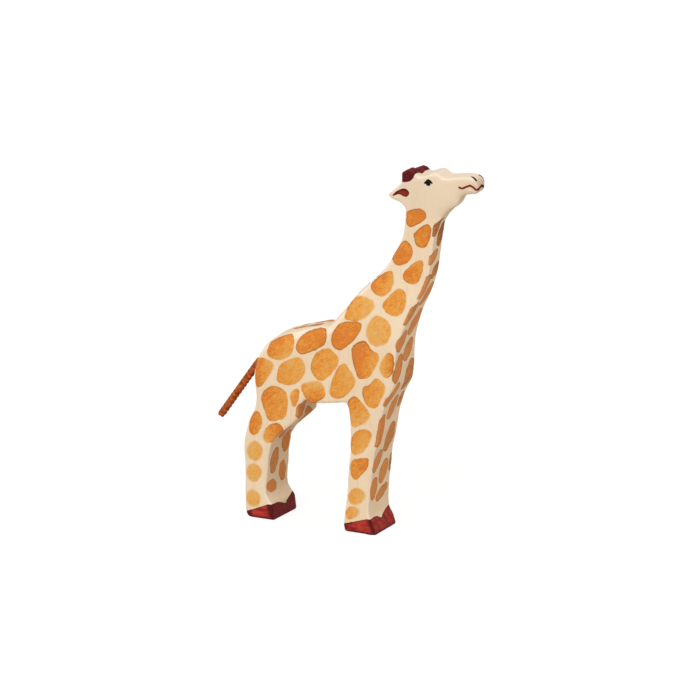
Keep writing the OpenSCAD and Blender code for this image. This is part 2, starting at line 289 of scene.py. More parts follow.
# %% [markdown]
# The head is small and carries the finest work: the ears, the horns and the face. A finer grid all
# over would waste faces on the plain legs, so only the head's faces are split, and then sanded once
# more. Before that, the jaw is sanded much rounder than the rest, but only across the board, so that
# its side view stays as it is, and the throat is sanded every way, which takes out its crease. Last,
# the soles are pressed flat, because the figure stands on them.

# %% Refine the head and flatten the soles
jaw = ((44, 195), (math.inf, 214))
throat = ((48, 196), (70.5, 215.5))
head = ((14, 197), (math.inf, math.inf))
jaw_passes = 45
throat_passes = 30
sole_skin = 0.3 * MM


def on_side_view(low, high):
    """The vertices between two corners of the side view, which are [x, height] in millimetres."""
    return [vert for vert in sculpt.verts
            if low[0] * MM < vert.co.x < high[0] * MM and low[1] * MM < vert.co.z < high[1] * MM]


sand(sculpt, on_side_view(*jaw), jaw_passes, across_only=True)
sand(sculpt, on_side_view(*throat), throat_passes)
head_verts = set(on_side_view(*head))
head_edges = [e for e in sculpt.edges if e.verts[0] in head_verts and e.verts[1] in head_verts]
bmesh.ops.subdivide_edges(sculpt, edges=head_edges, cuts=1, use_grid_fill=True)
sand(sculpt, on_side_view(*head), passes=1)
for vert in sculpt.verts:
    if vert.co.z < sole_skin:
        vert.co.z = 0
sculpt.to_mesh(body.data)
sculpt.free()
body.data.shade_smooth()
print(f"wood: {len(body.data.polygons)} faces with the head refined")

# %% [markdown]
# The rest of the carving moves vertices a little. Reading them all into arrays is much quicker than
# walking through them one by one. Distances from here on are in millimetres, as a carver measures:
# x runs from the tail to the nose, y from the near side to the far one, and z is the height.

# %% Read the wood into arrays


def read_wood():
    """Places in millimetres and outward directions of the wood's vertices."""
    count = len(body.data.vertices)
    places = np.empty(count * 3, np.float32)
    body.data.vertices.foreach_get("co", places)
    facing = np.empty(count * 3, np.float32)
    body.data.vertex_normals.foreach_get("vector", facing)
    return places.reshape(-1, 3).astype(float) / MM, facing.reshape(-1, 3).astype(float)


def write_wood(places):
    """Puts changed places back into the wood."""
    body.data.vertices.foreach_set("co", (places * MM).astype(np.float32).ravel())
    body.data.update()


def ramp(values, low, high):
    """0 below low, 1 above high, and a soft step between."""
    t = np.clip((values - low) / (high - low), 0, 1)
    return t * t * (3 - 2 * t)


wood, facing = read_wood()
wood_x, wood_y, wood_z = wood.T
print("wood reaches from", wood.min(0).round(2), "to", wood.max(0).round(2))

# %% [markdown]
# Patches, ears and other painted shapes are outlines drawn on the side view. What the finish needs
# is a distance: how far inside an outline a place is. With that one number the finish can cut a
# crisp edge, darken a rim or fade a colour. An outline is a handful of corners with a smooth curve
# through them, and the distance is to the nearest of its short edges.

# %% Measure how far inside an outline a place is
stroke_taper = 0.25


def edge_gap(places, start, end):
    """How far along a straight edge each place is, from 0 to 1, and its distance to the edge."""
    run = end - start
    share = np.clip(((places - start) @ run) / (run @ run), 0, 1)
    return share, np.hypot(*(places - start - share[:, None] * run).T)


def inside_distance(places, corners):
    """Distance to a smooth closed outline, positive inside it."""
    outline = np.array(smooth_line([np.array(c, float) for c in corners], steps=4, closed=True))
    best = np.full(len(places), np.inf)
    inside = np.zeros(len(places), bool)
    for a, b in zip(outline, np.roll(outline, -1, axis=0)):
        best = np.minimum(best, edge_gap(places, a, b)[1])
        crosses = (a[1] > places[:, 1]) != (b[1] > places[:, 1])
        if b[1] != a[1]:
            meets = a[0] + (places[:, 1] - a[1]) / (b[1] - a[1]) * (b[0] - a[0])
            inside ^= crosses & (places[:, 0] < meets)
    return np.where(inside, best, -best)


def stroke_distance(places, start, end, half_width):
    """Distance inside one brush stroke that is widest in the middle and narrower at its ends."""
    share, gap = edge_gap(places, np.array(start, float), np.array(end, float))
    return half_width * (1 - stroke_taper * np.abs(2 * share - 1) ** 2) - gap


ear_outline = [(20.3, 207.4), (22.5, 210.2), (26, 212.4), (29, 212.4), (30.8, 210.5), (29.5, 208),
               (27.2, 207.8), (24.2, 208.8)]
side_view = wood[:, [0, 2]]
ear_depth = inside_distance(side_view, ear_outline)
print(f"ear outline covers {np.count_nonzero(ear_depth > 0)} vertices on both sides")

# %% [markdown]
# The ears are leaf shapes with a shallow hollow where the red paint sits, pressed in from each side
# with a soft step. A saw and a knife leave nothing quite true: the fronts of the legs run a little
# askew across the board, most of all on the rear leg, the far horn was cut lower and further forward
# than the near one, and the gap between them is deep. Very slight waves over the whole surface keep
# the light from running dead straight along the sides.

# %% Carve the ears, the legs, the horns and the knife marks
ear_press = 0.7
ear_slope = 1.6
between_legs = -30
rear_skew = 0.07
front_skew = 0.025
skew_fades = (38, 60)
horn_floor = 217
horn_front = 36
horn_rise = 3
far_horn_side = (1, 3)
far_horn_height = 0.8
far_horn_forward = 1.6
horn_gap_depth = 1.8
horn_gap_width = 2.5
horn_gap_heights = (219, 223)
wave_height = 0.1

on_side = facing[:, 1] * np.sign(wood_y)
press = ear_press * ramp(ear_depth, 0, ear_slope) * ramp(on_side, 0.4, 0.8)
wood_y -= np.sign(wood_y) * press

leg_skew = np.where(wood_x < between_legs, rear_skew, front_skew) * (1 - ramp(wood_z, *skew_fades))
wood_x += leg_skew * wood_y

on_horns = (wood_z > horn_floor) & (wood_x < horn_front)
far_share = np.where(on_horns, ramp(wood_y, *far_horn_side), 0)
wood_z -= (wood_z - horn_floor) * (1 - far_horn_height) * far_share
wood_x += far_horn_forward * ramp(wood_z, horn_floor, horn_floor + horn_rise) * far_share
horn_gap = horn_gap_depth * np.exp(-((wood_y / horn_gap_width) ** 2)) * ramp(wood_z, *horn_gap_heights)
wood_z -= np.where(wood_x < horn_front, horn_gap, 0)

sway = 1.3 * np.sin(wood_z / 5.3)
waves = np.sin(wood_x / 3.1 + sway) * np.sin(wood_z / 4.3 + wood_y / 3.7)
above_sole = ramp(wood_z, 0.5, 4)
wood += facing * (wave_height * waves * above_sole)[:, None]
write_wood(wood)
wood, facing = read_wood()
wood_x, wood_y, wood_z = wood.T
print(f"carved: ears pressed in {press.max():.2f} mm, legs askew by {leg_skew.max():.0%}")

# %% [markdown]
# The coat's patches were painted one by one, so each has its own outline, strength of stain and
# fade. The near side is given as outlines on the side view, in millimetres, after three numbers: how
# deep the stain is, from pale ochre at 0 to burnt orange at 1, how much it fades across the patch,
# and the direction, in degrees, in which it gets deeper.

# %% List the patches on the side of the neck and the shoulder
neck_patches = [
    (0.9, 0.05, 0,
     [(30, 198.5), (37, 201), (40.5, 199), (40, 195.5), (36, 192.5), (31.5, 190), (29, 191.5),
      (29, 195)]),
    (0.85, 0.05, 90,
     [(41.5, 192), (44, 189), (42, 181), (39.5, 178.5), (35.5, 179), (34, 183), (34.5, 186)]),
    (0.85, 0.1, 230,
     [(27, 180), (31.5, 177), (32, 173), (29.5, 168.5), (23.5, 165.5), (20, 167.5), (20, 170)]),
    (0.75, 0.1, 200,
     [(37, 169.5), (39, 167), (36.5, 158.5), (33.5, 155.5), (29, 156.5), (27, 159), (29.5, 163.5)]),
    (0.6, 0.25, 160,
     [(17.5, 160.5), (20, 158), (19.5, 152.5), (15.5, 146.5), (10, 146), (6.5, 149), (7.5, 153)]),
    (0.5, 0.1, 180,
     [(24.5, 151), (28.5, 148), (28.5, 141.5), (25.5, 136.5), (20.5, 135.5), (16, 137.5), (15.5, 142)]),
    (0.3, 0.2, 180,
     [(-3, 142), (4, 142.5), (8.5, 139.5), (5.5, 134), (0, 130), (-6, 129), (-9.5, 130), (-8, 136)]),
    (0.2, 0.05, 0,
     [(5, 124.5), (9, 132), (12.5, 133), (18.5, 130.5), (20.5, 125.5), (18, 119), (12.5, 116),
      (7, 117.5)]),
]
shoulder_patches = [
    (0.9, 0.1, 180,
     [(-11.5, 126), (-0.5, 127.5), (0.5, 124.5), (-3, 118), (-10, 111.5), (-13.5, 110.5), (-16.5, 113),
      (-16.5, 119)]),
    (0.7, 0.4, 160,
     [(3, 117), (8, 112.5), (13, 109.5), (10, 101.5), (6.5, 96.5), (3.5, 95.5), (0, 96.5), (-4, 111)]),
    (0.45, 0.1, 200,
     [(-10, 101.5), (-6.5, 99.5), (-2, 92), (-8, 83.5), (-14, 81), (-17.5, 84), (-15, 94)]),
    (0.5, 0.35, 0,
     [(20.5, 112.5), (23, 110.5), (22.5, 102), (19, 98), (15.5, 99.5), (14.5, 104), (17.5, 110)]),
    (0.5, 0.2, 180,
     [(12.5, 96), (17.5, 91.5), (14.5, 83), (11, 78.5), (7, 79), (4, 84), (4, 89), (8, 91.5)]),
    (0.5, 0.25, 140, [(-3, 82.5), (0.5, 81.5), (7.5, 73.5), (3.5, 68), (-3, 65), (-4.5, 71), (-6, 78.5)]),
]
foreleg_patches = [
    (0.4, 0.2, 140,
     [(-4, 54), (-2, 60.5), (4, 63.5), (8.5, 61.5), (6.5, 55.5), (2, 49.5), (-2, 48), (-4, 50)]),
    (0.7, 0.1, 0,
     [(-3.5, 43), (2, 45.5), (6, 46), (6.5, 45), (5.5, 40.5), (-0.5, 33.5), (-2.5, 33.5), (-4, 36.5)]),
    (0.2, 0.1, 180,
     [(-5.5, 21.5), (-4, 25), (-0.5, 27), (3, 26), (4.5, 23), (2, 19.5), (-2, 17.5), (-5, 18.5)]),
    (0.25, 0.1, 180,
     [(-6.5, 12.5), (-5, 15), (-2.5, 15.5), (0, 14.5), (0.5, 12.5), (-2, 9.5), (-5.5, 8.5), (-7, 10)]),
]
print(len(neck_patches + shoulder_patches + foreleg_patches), "patches on the front half of the side")

# %% List the patches on the side of the rump and the rear leg
rump_patches = [
    (0.65, 0.35, 130,
     [(-58, 104.5), (-56, 109.5), (-51, 113), (-46, 114.5), (-42, 112.5), (-42.5, 105.5), (-46.5, 101),
      (-52, 99.5), (-57, 100.5)]),
    (0.6, 0.45, 180,
     [(-65.5, 95), (-63.5, 98), (-59, 98), (-55, 95), (-59, 86.5), (-63.5, 81.5), (-65.5, 82.5)]),
    (0.85, 0.1, 90,
     [(-39.5, 109.5), (-36, 115.5), (-28.5, 119.5), (-23.5, 120.5), (-21.5, 118), (-22, 113),
      (-28, 108.5), (-35.5, 105), (-38.5, 106)]),
    (0.4, 0.1, 200,
     [(-49, 96.5), (-37.5, 102), (-34.5, 94.5), (-39, 87.5), (-45, 85), (-51, 86), (-51.5, 88.5)]),
    (0.45, 0.1, 180,
     [(-29, 102), (-26, 106.5), (-21.5, 109), (-17.5, 109), (-13, 103.5), (-17.5, 95.5), (-24, 90.5),
      (-29.5, 95)]),
    (0.6, 0.15, 180,
     [(-62, 75.5), (-55.5, 82), (-48.5, 80.5), (-46, 77), (-47, 66), (-52.5, 62), (-57.5, 61.5),
      (-60, 66.5)]),
    (0.45, 0.2, 0, [(-43.5, 77.5), (-41.5, 81.5), (-38.5, 82), (-38.5, 77.5), (-41.5, 72)]),
    (0.55, 0.35, 270,
     [(-35, 86), (-25.5, 89), (-22, 85), (-22, 81), (-26, 77.5), (-30.5, 75.5), (-35, 81)]),
    (0.7, 0.3, 180,
     [(-66, 65), (-63, 62), (-63, 57.5), (-65.5, 52.5), (-68.5, 51), (-70, 54), (-69.5, 60)]),
    (0.6, 0.3, 20,
     [(-61, 52), (-58, 57), (-52.5, 59.5), (-49, 57), (-51, 52.5), (-55.5, 48.5), (-59.5, 47.5),
      (-61, 49.5)]),
]
shank_patches = [
    (0.1, 0.05, 0,
     [(-67, 46.5), (-63.5, 44.5), (-62.5, 41.5), (-64, 37), (-67, 35.5), (-70.5, 37), (-71.5, 40.5),
      (-70, 44.5)]),
    (0.1, 0.05, 0,
     [(-67.5, 32.5), (-64, 31), (-63, 28), (-65, 24), (-67.5, 22.5), (-70.5, 23.5), (-72, 27),
      (-70.5, 31)]),
    (0.1, 0.05, 0,
     [(-68, 16.5), (-65, 15), (-63.5, 12.5), (-65, 8.5), (-67.5, 7.5), (-70.5, 8.5), (-72, 11.5),
      (-71, 15)]),
]
side_patches = neck_patches + shoulder_patches + foreleg_patches + rump_patches + shank_patches
print(len(side_patches), "patches on the whole side")

# %% [markdown]
# The narrow faces of the board carry slim patches, each little more than a stroke or two of the
# brush. A stroke is its two ends, as [across, height] or, on the ridge, as [x, across], and its half
# width. The ones down the neck, the chest and the legs show in the picture. The nape, the rump and
# the backs of the legs don't, and the ridge shows only at a low slant, so they follow the rhythm.

# %% List the strokes on the narrow faces
front_strokes = [
    ((-3, 194.5), (-5.5, 187.5), 2), ((4, 189.5), (1.5, 180.5), 3), ((-1, 174), (-6, 170), 2.2),
    ((4, 165), (0, 160), 2.4), ((-5, 159), (-7.5, 149), 2.2), ((3, 151.5), (0.5, 143.5), 3.2),
    ((-6, 141), (-9.5, 133), 2.8), ((5.5, 133), (1.5, 124.5), 4), ((-6.5, 122.5), (-9.5, 116.5), 3.5),
    ((5.5, 114.5), (1, 108.5), 3.8), ((-6.5, 107.5), (-10.5, 97.5), 3.5), ((9, 100.5), (5, 89.5), 4),
    ((-6.5, 90.5), (-11, 82), 2.8), ((1, 80), (-2, 72), 3.5), ((9.5, 81), (8.5, 76), 2),
    ((-10, 71), (-11, 56.5), 2.8), ((5, 61), (2.5, 51.5), 4.5), ((-4.5, 47.5), (-9.5, 40), 2.6),
    ((4, 38.5), (1, 31.5), 3.8), ((11.5, 42), (11, 35), 1.6), ((-7.5, 30.5), (-8, 23), 3.2),
    ((7.5, 24), (-1.5, 19.5), 2.2),
]
thigh_strokes = [
    ((-8.5, 74), (-10, 67.5), 3.8), ((-0.5, 66), (7.5, 58.5), 2.6), ((5, 47.5), (7.5, 39.5), 3.4),
    ((-4.5, 38.5), (-5.5, 29.5), 3.4), ((5, 28.5), (6.5, 21.5), 2.8), ((-9, 19.5), (-3.5, 18), 2.8),
    ((-8, 55.5), (-3, 50.5), 2.6),
]
nape_strokes = [
    ((3, 194), (4.5, 185), 2.6), ((-4, 187), (-1.5, 178), 2.6), ((1, 173), (4.5, 166), 2.4),
    ((-4.5, 168), (-3, 158), 2.6), ((4, 157), (2, 149), 2.6), ((-3, 148), (-5.5, 140), 3),
    ((5, 141), (2.5, 134), 3.2), ((-5, 132), (-2.5, 127), 3), ((6, 129), (7, 126), 2.2),
]
rump_strokes = [
    ((7, 103), (9, 94), 3), ((-7, 84), (-4, 76), 3.4), ((6, 80), (8, 70), 3.2), ((-8, 68), (-6, 59), 3.2),
    ((4, 62), (6, 53), 3.4), ((-5, 50), (-8, 41), 3.4), ((6, 44), (4, 34), 3.4), ((-6, 33), (-4, 24), 3.2),
    ((6, 25), (8, 16), 3), ((-7, 17), (-6, 11), 2.6),
]
foreleg_back_strokes = [
    ((-6, 68), (-8, 58), 3), ((6, 62), (4, 52), 3.2), ((-5, 48), (-7, 39), 3), ((5, 42), (7, 32), 3),
    ((-6, 30), (-5, 21), 3), ((6, 23), (5, 15), 2.8),
]
ridge_strokes = [
    ((-47, 1), (-39, -1.5), 1), ((-36, -2.5), (-28, -4.5), 1), ((-34, 3.5), (-25, 3), 1),
    ((-43.5, 5), (-40, 6), 0.6),
]
print(len(front_strokes) + len(thigh_strokes), "strokes that the picture shows")

# %% [markdown]
# Each vertex now gets two numbers: how far inside a patch it is, and how deep the stain is there.
# A patch belongs to one face of the board, so the direction in which the wood faces fades it out
# round the edge. That direction jumps from vertex to vertex, which would fray the patches, so it is
# evened out with the neighbours' first.

# %% Get ready to paint
nowhere = -3.0
plain_stain = 0.5
face_depth = 2.8
even_passes = 4
coat_depth = np.full(len(wood), nowhere)
coat_stain = np.full(len(wood), plain_stain)


def even_facing(passes):
    """The outward directions, each evened out with its neighbours' some times over."""
    ends = np.empty(len(body.data.edges) * 2, np.int32)
    body.data.edges.foreach_get("vertices", ends)
    one, other = ends.reshape(-1, 2).T
    shared = facing
    for _ in range(passes):
        total = shared.copy()
        np.add.at(total, one, shared[other])
        np.add.at(total, other, shared[one])
        shared = total / np.linalg.norm(total, axis=1, keepdims=True)
    return shared


def edge_fade(outward, wrap):
    """How far inside its face a vertex is; with a small wrap, a patch runs over the face's edge."""
    return face_depth * (outward - wrap) / (1 - wrap)


def lay_patch(where, depth, stain):
    """Puts one patch over the coat where it is the nearest one."""
    wins = depth > coat_depth[where]
    chosen = where[wins]
    coat_depth[chosen] = depth[wins]
    coat_stain[chosen] = stain[wins]


evened = even_facing(even_passes)
print(f"{len(evened)} directions evened out in {even_passes} passes")

# %% [markdown]
# The far side is out of sight. It uses the near side's outlines with a slow sway, as a second hand
# painting of the same coat would.

# %% Paint the sides
side_spread = 0.6
side_wrap = 0.46
fade_strength = 1.7
far_sway = 2.2
patch_margin = 4
side_view = wood[:, [0, 2]]


def paint_side(side, sway):
    """Lays the side patches on one face of the board: -1 is the near face, 1 the far one."""
    outward = side * evened[:, 1]
    for stain, fade, direction, corners in side_patches:
        low = np.min(corners, axis=0) - patch_margin
        high = np.max(corners, axis=0) + patch_margin
        near = np.all((side_view > low) & (side_view < high), axis=1)
        where = np.flatnonzero(near & (outward > 0))
        places = side_view[where]
        waves = np.column_stack((np.sin(places[:, 1] / 19), np.sin(places[:, 0] / 15 + 1)))
        reach = inside_distance(places + sway * waves, corners) + side_spread
        depth = np.minimum(reach, edge_fade(outward[where], side_wrap))
        deeper = np.array((math.cos(math.radians(direction)), math.sin(math.radians(direction))))
        centre = np.mean(corners, axis=0)
        size = np.max(np.linalg.norm(np.array(corners) - centre, axis=1))
        lay_patch(where, depth, stain + fade_strength * fade * ((places - centre) @ deeper) / size)


paint_side(-1, 0)
paint_side(1, far_sway)
print(f"side patches cover {np.mean(coat_depth > 0):.0%} of the wood's vertices")

# %% [markdown]
# The strokes are browner than the side patches, with stains from 1 up to 3. Those in front get still
# browner up the neck, as painted shade, and towards the far side; the ridge's deeper stain is partly
# painted shade too. Each stroke is a new dip of the brush, so it has a strength of its own.

# %% Paint the narrow faces
stroke_spread = 1.3
front_wrap = 0.3
back_wrap = 0.93
stroke_stain = 1.9
back_stain = 1.3
# The ridge's stain is deepened beyond the back's, partly as painted shade.
ridge_stain_and_shade = 2.2
neck_painted_shade = 0.4
throat_painted_shade = 0.3
far_browner = 0.2
dip_change = 0.3
dip_step = 2.4
end_view = wood[:, [1, 2]]
plan_view = wood[:, [0, 1]]


def paint_strokes(strokes, places, outward, stain, wrap):
    """Lays strokes on one narrow face; outward says which vertices face that way."""
    where = np.flatnonzero(outward > 0)
    stains = np.broadcast_to(stain, len(wood))[where]
    for number, (start, end, half_width) in enumerate(strokes):
        reach = stroke_distance(places[where], start, end, half_width + stroke_spread)
        depth = np.minimum(reach, edge_fade(outward[where], wrap))
        lay_patch(where, depth, stains + dip_change * math.sin(dip_step * number))


forward = evened[:, 0]
narrow = np.hypot(evened[:, 0], evened[:, 2])
backward = forward < -0.25
front_half = wood_x > 0
on_neck = wood_z > 118
rear_end = wood_x < -52
on_back = (wood_x < -18) & (wood_z > 100)
# Painted shade: the front strokes are stained browner up the neck and at the throat.
front_stain_and_shade = (stroke_stain + neck_painted_shade * ramp(wood_z, 150, 172)
               + throat_painted_shade * ramp(wood_z, 176, 188) + far_browner * ramp(wood_y, -2, 5))

paint_strokes(front_strokes, end_view, np.where(front_half, forward, -1), front_stain_and_shade, front_wrap)
paint_strokes(thigh_strokes, end_view, np.where(front_half, -1, forward), stroke_stain, front_wrap)
back_faces = [
    (nape_strokes, end_view, backward & on_neck, back_stain),
    (rump_strokes, end_view, backward & rear_end, back_stain),
    (foreleg_back_strokes, end_view, backward & ~on_neck & ~rear_end, back_stain),
    (ridge_strokes, plan_view, on_back, ridge_stain_and_shade),
]
for strokes, places, here, stain in back_faces:
    paint_strokes(strokes, places, np.where(here, narrow, -1), stain, back_wrap)
print(f"patches and strokes cover {np.mean(coat_depth > 0):.0%} of the wood's vertices")

# %% [markdown]
# The hooves, the horns and the ears are stained dark red. A hoof's red starts low at the heel and
# rises towards the toe, each given as [x, height], and in front its edge makes two lobes with a
# cleft between them, given as [across, height]. The red is darker along the sole, at the heel and
# between side and front, and its front faces are darkened as painted shade, the rear hoof's most.

# %% Mask the hooves
front_lobes = [(-14, 9.5), (-12, 9), (-9, 9.5), (-4, 9), (0, 7), (2.5, 8.5), (8, 10.5), (14, 11.5)]
rear_lobes = [(-14, 9.5), (-9, 9.5), (-5, 9), (-1, 7.5), (2, 6.5), (3, 8), (6, 9), (14, 11)]
half_board = 14
toe_lean = 0.32
sole_shade = 0.95
corner_shade = 0.9
heel_shade = 0.8
round_front = ramp(facing[:, 0], 0.3, 0.6)


def hoof_depth(heel, toe, lobes):
    """How far below the upper edge of a hoof's red a vertex is."""
    on_flank = np.interp(wood_x, (heel[0], toe[0]), (heel[1], toe[1]))
    in_front = np.interp(wood_y, *zip(*lobes))
    return on_flank + round_front * (in_front - on_flank) - wood_z


def hoof_shade(toe_x, heel_x, front_shade):
    """How dark a hoof's red is, from 0 to 1."""
    toe_gap = np.abs(toe_x - toe_lean * wood_z - wood_x)
    corner_gap = np.maximum(toe_gap, half_board - np.abs(wood_y))
    edges = [sole_shade * (1 - ramp(wood_z, 0.5, 2.2)), corner_shade * (1 - ramp(corner_gap, 1, 3)),
             heel_shade * (1 - ramp(wood_x - heel_x, 0.5, 2.5)), front_shade * round_front]
    return np.maximum.reduce(edges)


in_rear = wood_x < between_legs
rear_hoof = hoof_depth(heel=(-71, 4), toe=(-58, 9.5), lobes=rear_lobes)
front_hoof = hoof_depth(heel=(-8, 5), toe=(6, 9.5), lobes=front_lobes)
hooves = np.where(in_rear, rear_hoof, front_hoof)
# Painted shade: front_shade darkens the hooves' front faces, the rear hoof's most.
rear_shade = hoof_shade(toe_x=-54.3, heel_x=-70, front_shade=0.7)
front_shade = hoof_shade(toe_x=11.6, heel_x=-7.9, front_shade=0.25)
hoof_shades = np.where(in_rear, rear_shade, front_shade)
print(f"hooves cover {np.mean(hooves > 0):.0%} of the wood's vertices")

# %% [markdown]
# The horns are red all over, with a rounded lower edge on each side of the head, a little further
# forward on the far side. Their red is painted lighter along their edges, as a painted highlight. An
# ear's red is darkest at its tip.

# %% Mask the horns and the ears
horn_outline = [(24, 217.5), (24, 228), (33, 229), (35, 224), (34.2, 221), (33, 219), (31, 217.3),
                (28, 216.6)]
horns_above = 213
hooves_below = 20
horn_slant = 0.15
head_half = 8.5
horn_dark = 0.9
horn_edge_highlight = 0.25
ear_dark = 0.95
ear_fade = 0.4

slant = horn_slant * (wood_y + head_half)
slanted = side_view - np.column_stack((slant, np.zeros(len(wood))))
horn_depth = np.where(wood_z > horns_above, inside_distance(slanted, horn_outline), nowhere)
ear_depth = np.where(on_side > 0.3, inside_distance(side_view, ear_outline), nowhere)
red_depth = np.maximum.reduce([hooves, horn_depth, ear_depth])
sideways = np.abs(facing[:, 1])
edge_band = ramp(sideways, 0.15, 0.45) * (1 - ramp(sideways, 0.8, 0.97))
# Painted highlight: the horns' red is made lighter along their edges.
horn_shade = horn_dark - horn_edge_highlight * edge_band
ear_shade = ear_dark - ear_fade * ramp(wood_x, 20.5, 25)
head_shade = np.where(horn_depth > ear_depth, horn_shade, ear_shade)
red_shade = np.where(wood_z < hooves_below, hoof_shades, head_shade)
print(f"red stain covers {np.mean(red_depth > 0):.0%} of the wood's vertices")

# %% [markdown]
# The numbers go onto the mesh as attributes, which the finish reads by name. They ride on the
# vertices, so the paint stays where it is from every side and at every pose. One more number marks
# where the wood is painted paler, as a painted highlight: along the edges of the board, where it
# faces neither sideways nor along the board, and less on the head, where the upward-facing brow
# gets a painted highlight too.

# %% Store the paint on the wood
deepest_stain = 3
edge_highlight = 0.8
head_edge_highlight = 0.45
brow_highlight = 0.55
head_start = 198

# Painted highlight along the edges of the board and on the upward-facing brow.
brow_facing_up = ramp(facing[:, 2], 0.3, 0.8) * ramp(wood_z, 205, 212)
head_highlight = np.maximum(head_edge_highlight * edge_band, brow_highlight * brow_facing_up)
paint_layers = {
    "coat_depth": np.clip(coat_depth, nowhere, 4),
    "coat_stain": np.clip(coat_stain, 0, deepest_stain),
    "red_depth": np.clip(red_depth, nowhere, 6),
    "red_shade": red_shade,
    "painted_highlight": np.where(wood_z > head_start, head_highlight, edge_highlight * edge_band),
}
for name, values in paint_layers.items():
    layer = body.data.attributes.new(name, "FLOAT", "POINT")
    layer.data.foreach_set("value", values.astype(np.float32))
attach(body, "figure")
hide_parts("carved_body")
print("stored:", ", ".join(paint_layers))

# %% [markdown]
# Finishes are built from nodes. Small helpers keep that readable: they make a colour from the usual
# 0 to 255 numbers, add a node with its settings, and give the result of a sum, a soft step or a mix.
# An input is a number or the output of another node. The helpers work on the tree at hand, which
# each group and each finish sets first.

# %% Helpers for nodes


def colour(red, green, blue):
    """A linear colour from everyday 0 to 255 values."""
    shares = (c / 255 for c in (red, green, blue))
    return tuple(s / 12.92 if s <= 0.04045 else ((s + 0.055) / 1.055) ** 2.4 for s in shares) + (1.0,)


def fill(socket, value):
    """Links a socket to another node's output, or sets it to a number."""
    if isinstance(value, bpy.types.NodeSocket):
        tree.links.new(value, socket)
    else:
        socket.default_value = value


def add(kind, inputs=None, **settings):
    """Adds a shader node to the tree at hand, sets its properties, and fills its inputs."""
    node = tree.nodes.new("ShaderNode" + kind)
    for name, value in settings.items():
        setattr(node, name, value)
    for name, value in (inputs or {}).items():
        fill(node.inputs[name], value)
    return node


def sums(operation, *values, clamp=False):
    """The output of a Math node."""
    inputs = dict(enumerate(values))
    return add("Math", inputs, operation=operation, use_clamp=clamp).outputs[0]


def vectors(operation, *values, result="Vector"):
    """An output of a Vector Math node."""
    inputs = dict(enumerate(values))
    return add("VectorMath", inputs, operation=operation).outputs[result]


def either_way(noise, width):
    """A noise from 0 to 1 as a change of up to half a width each way."""
    return sums("MULTIPLY_ADD", noise, width, -width / 2)


def soft_step(value, low, high, most=1):
    """0 below low, most above high, and a soft step between; it falls where low is the larger."""
    return add("MapRange", {"Value": value, "From Min": low, "From Max": high, "To Max": most},
               interpolation_type="SMOOTHSTEP").outputs["Result"]


def blend_colours(share, under, over):
    """One colour laid over another by a share from 0 to 1."""
    node = add("Mix", data_type="RGBA", blend_type="MIX", clamp_factor=True)
    for name, value in (("Factor_Float", share), ("A_Color", under), ("B_Color", over)):
        fill(next(s for s in node.inputs if s.identifier == name), value)
    return next(s for s in node.outputs if s.identifier == "Result_Color")


print("node helpers ready")

# %% [markdown]
# Two effects turn up again and again, so each is a group of nodes. Fibres are long thin streaks, as
# in wood, in a cord or under a brush: one group stretches a noise along a direction and gives a
# streak and a finer speck. A pen stroke is a line drawn on the surface, and its group gives the
# distance to the line.

# %% Group: long fibres


def new_group(name, given, made):
    """An empty node group that is given vectors and makes numbers, with the sockets inside it."""
    group = bpy.data.node_groups.new(name, "ShaderNodeTree")
    for label in given:
        group.interface.new_socket(name=label, in_out="INPUT", socket_type="NodeSocketVector")
    for label in made:
        group.interface.new_socket(name=label, in_out="OUTPUT", socket_type="NodeSocketFloat")
    return group, group.nodes.new("NodeGroupInput").outputs, group.nodes.new("NodeGroupOutput").inputs


def place_group(group, inputs):
    """Places a group in the tree at hand and gives its outputs."""
    return add("Group", inputs, node_tree=group).outputs


fibres, given, made = new_group("long fibres", ["Vector", "Stretch"], ["Streak", "Speck"])
tree = fibres
stretched = vectors("MULTIPLY", given["Vector"], given["Stretch"])
streak_noise = add("TexNoise", {"Vector": stretched, "Scale": 1.0, "Detail": 3.0, "Roughness": 0.55})
speck_noise = add("TexNoise", {"Vector": stretched, "Scale": 4.0, "Detail": 2.0})
fibres.links.new(streak_noise.outputs["Fac"], made["Streak"])
fibres.links.new(speck_noise.outputs["Fac"], made["Speck"])
print("group:", fibres.name)

# %% Group: a pen stroke
pen_stroke, given, made = new_group("pen stroke", ["Vector", "Start", "End"], ["Distance"])
tree = pen_stroke
to_place = vectors("SUBTRACT", given["Vector"], given["Start"])
run = vectors("SUBTRACT", given["End"], given["Start"])
along = vectors("DOT_PRODUCT", to_place, run, result="Value")
whole = vectors("DOT_PRODUCT", run, run, result="Value")
share = sums("DIVIDE", along, whole, clamp=True)
nearest = add("VectorMath", {0: run, "Scale": share}, operation="SCALE").outputs[0]
offset = vectors("SUBTRACT", to_place, nearest)
reach = vectors("LENGTH", offset, result="Value")
pen_stroke.links.new(reach, made["Distance"])
print("group:", pen_stroke.name)

# %% [markdown]
# The wood's finish is a thin stain over pale wood: cream all over, then the orange coat, then the
# red parts and last the face. The grain hardly shows through, but it breaks up the cream and gives
# the surface its tooth. Stain pools at the edge of a wet patch, so each patch with a deep stain has a
# darker rim, and the brush leaves streaks in it.

# %% Start the wood's finish
brush_slant = math.radians(40)


def new_finish(name):
    """A material with its tree and its shader."""
    material = bpy.data.materials.new(name)
    material.use_nodes = True
    return material, material.node_tree, material.node_tree.nodes["Principled BSDF"]


